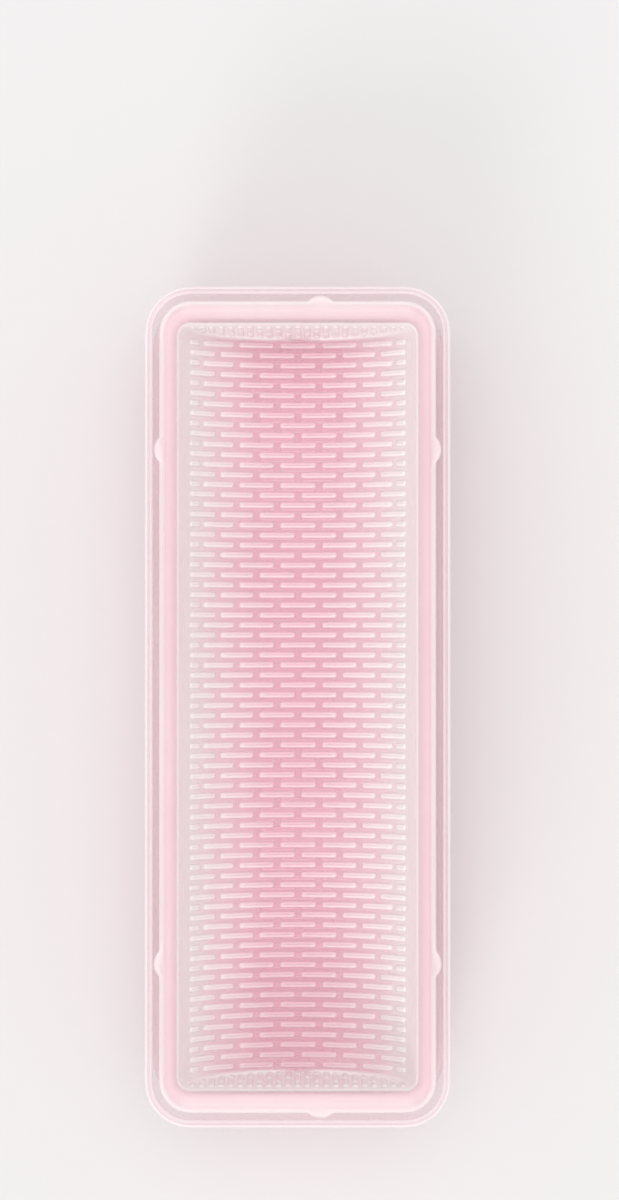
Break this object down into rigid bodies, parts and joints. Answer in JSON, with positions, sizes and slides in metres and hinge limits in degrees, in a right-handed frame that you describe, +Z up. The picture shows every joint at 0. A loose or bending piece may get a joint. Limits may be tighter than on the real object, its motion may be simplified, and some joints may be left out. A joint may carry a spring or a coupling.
{
  "type": "sushi rice mold press",
  "caption": "Hand press mould for thick sushi rolls: hollow half moulds with an arched channel, stacked in a bottomless rectangular frame, in milky translucent plastic.",
  "frame": {"origin": "middle of the flat face on the table that the base tray and the frame stand on", "axes": "+X across the roll, +Y along the roll, towards the end that is up in the picture, +Z up out of the hollow side"},
  "size_m": [0.08, 0.22, 0.056],
  "materials": {
    "milky_plastic": "satin, milky translucent polypropylene"
  },
  "bodies": {
    "base_tray": {"base_tray": "milky_plastic"},
    "press": {"press": "milky_plastic"},
    "frame": {"frame": "milky_plastic"}
  },
  "joints": [
    {"name": "press_lift", "type": "slide", "parent": "base_tray", "child": "press", "axis": [0, 0, 1], "range_m": [0, 0.06]},
    {"name": "frame_lift", "type": "slide", "parent": "base_tray", "child": "frame", "axis": [0, 0, 1], "range_m": [0, 0.06]}
  ]
}
